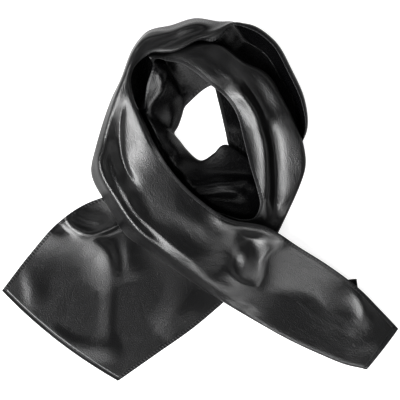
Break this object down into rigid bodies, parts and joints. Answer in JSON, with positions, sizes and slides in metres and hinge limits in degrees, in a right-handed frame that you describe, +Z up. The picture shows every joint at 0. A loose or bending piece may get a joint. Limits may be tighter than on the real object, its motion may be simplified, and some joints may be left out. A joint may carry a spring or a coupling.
{
  "type": "satin scarf",
  "caption": "Long satin scarf with turned hems, laid flat in a double loop round an open neck hole, its two tails crossing and spreading below.",
  "frame": {"origin": "on the table, under the middle of the scarf as it lies", "axes": "+Z up from the table, +Y from the tails towards the top of the neck loop, +X towards the upper tail"},
  "size_m": [0.428, 0.391, 0.04],
  "materials": {
    "satin_field": "black satin, glossy face and dull back",
    "side_hem": "black satin, turned and stitched",
    "end_hem": "black satin, turned and stitched"
  },
  "bodies": {
    "root": {"scarf_panel": "satin_field", "side_hem_neck": "side_hem", "side_hem_outer": "side_hem", "end_hem_left": "end_hem", "end_hem_right": "end_hem"}
  },
  "joints": []
}
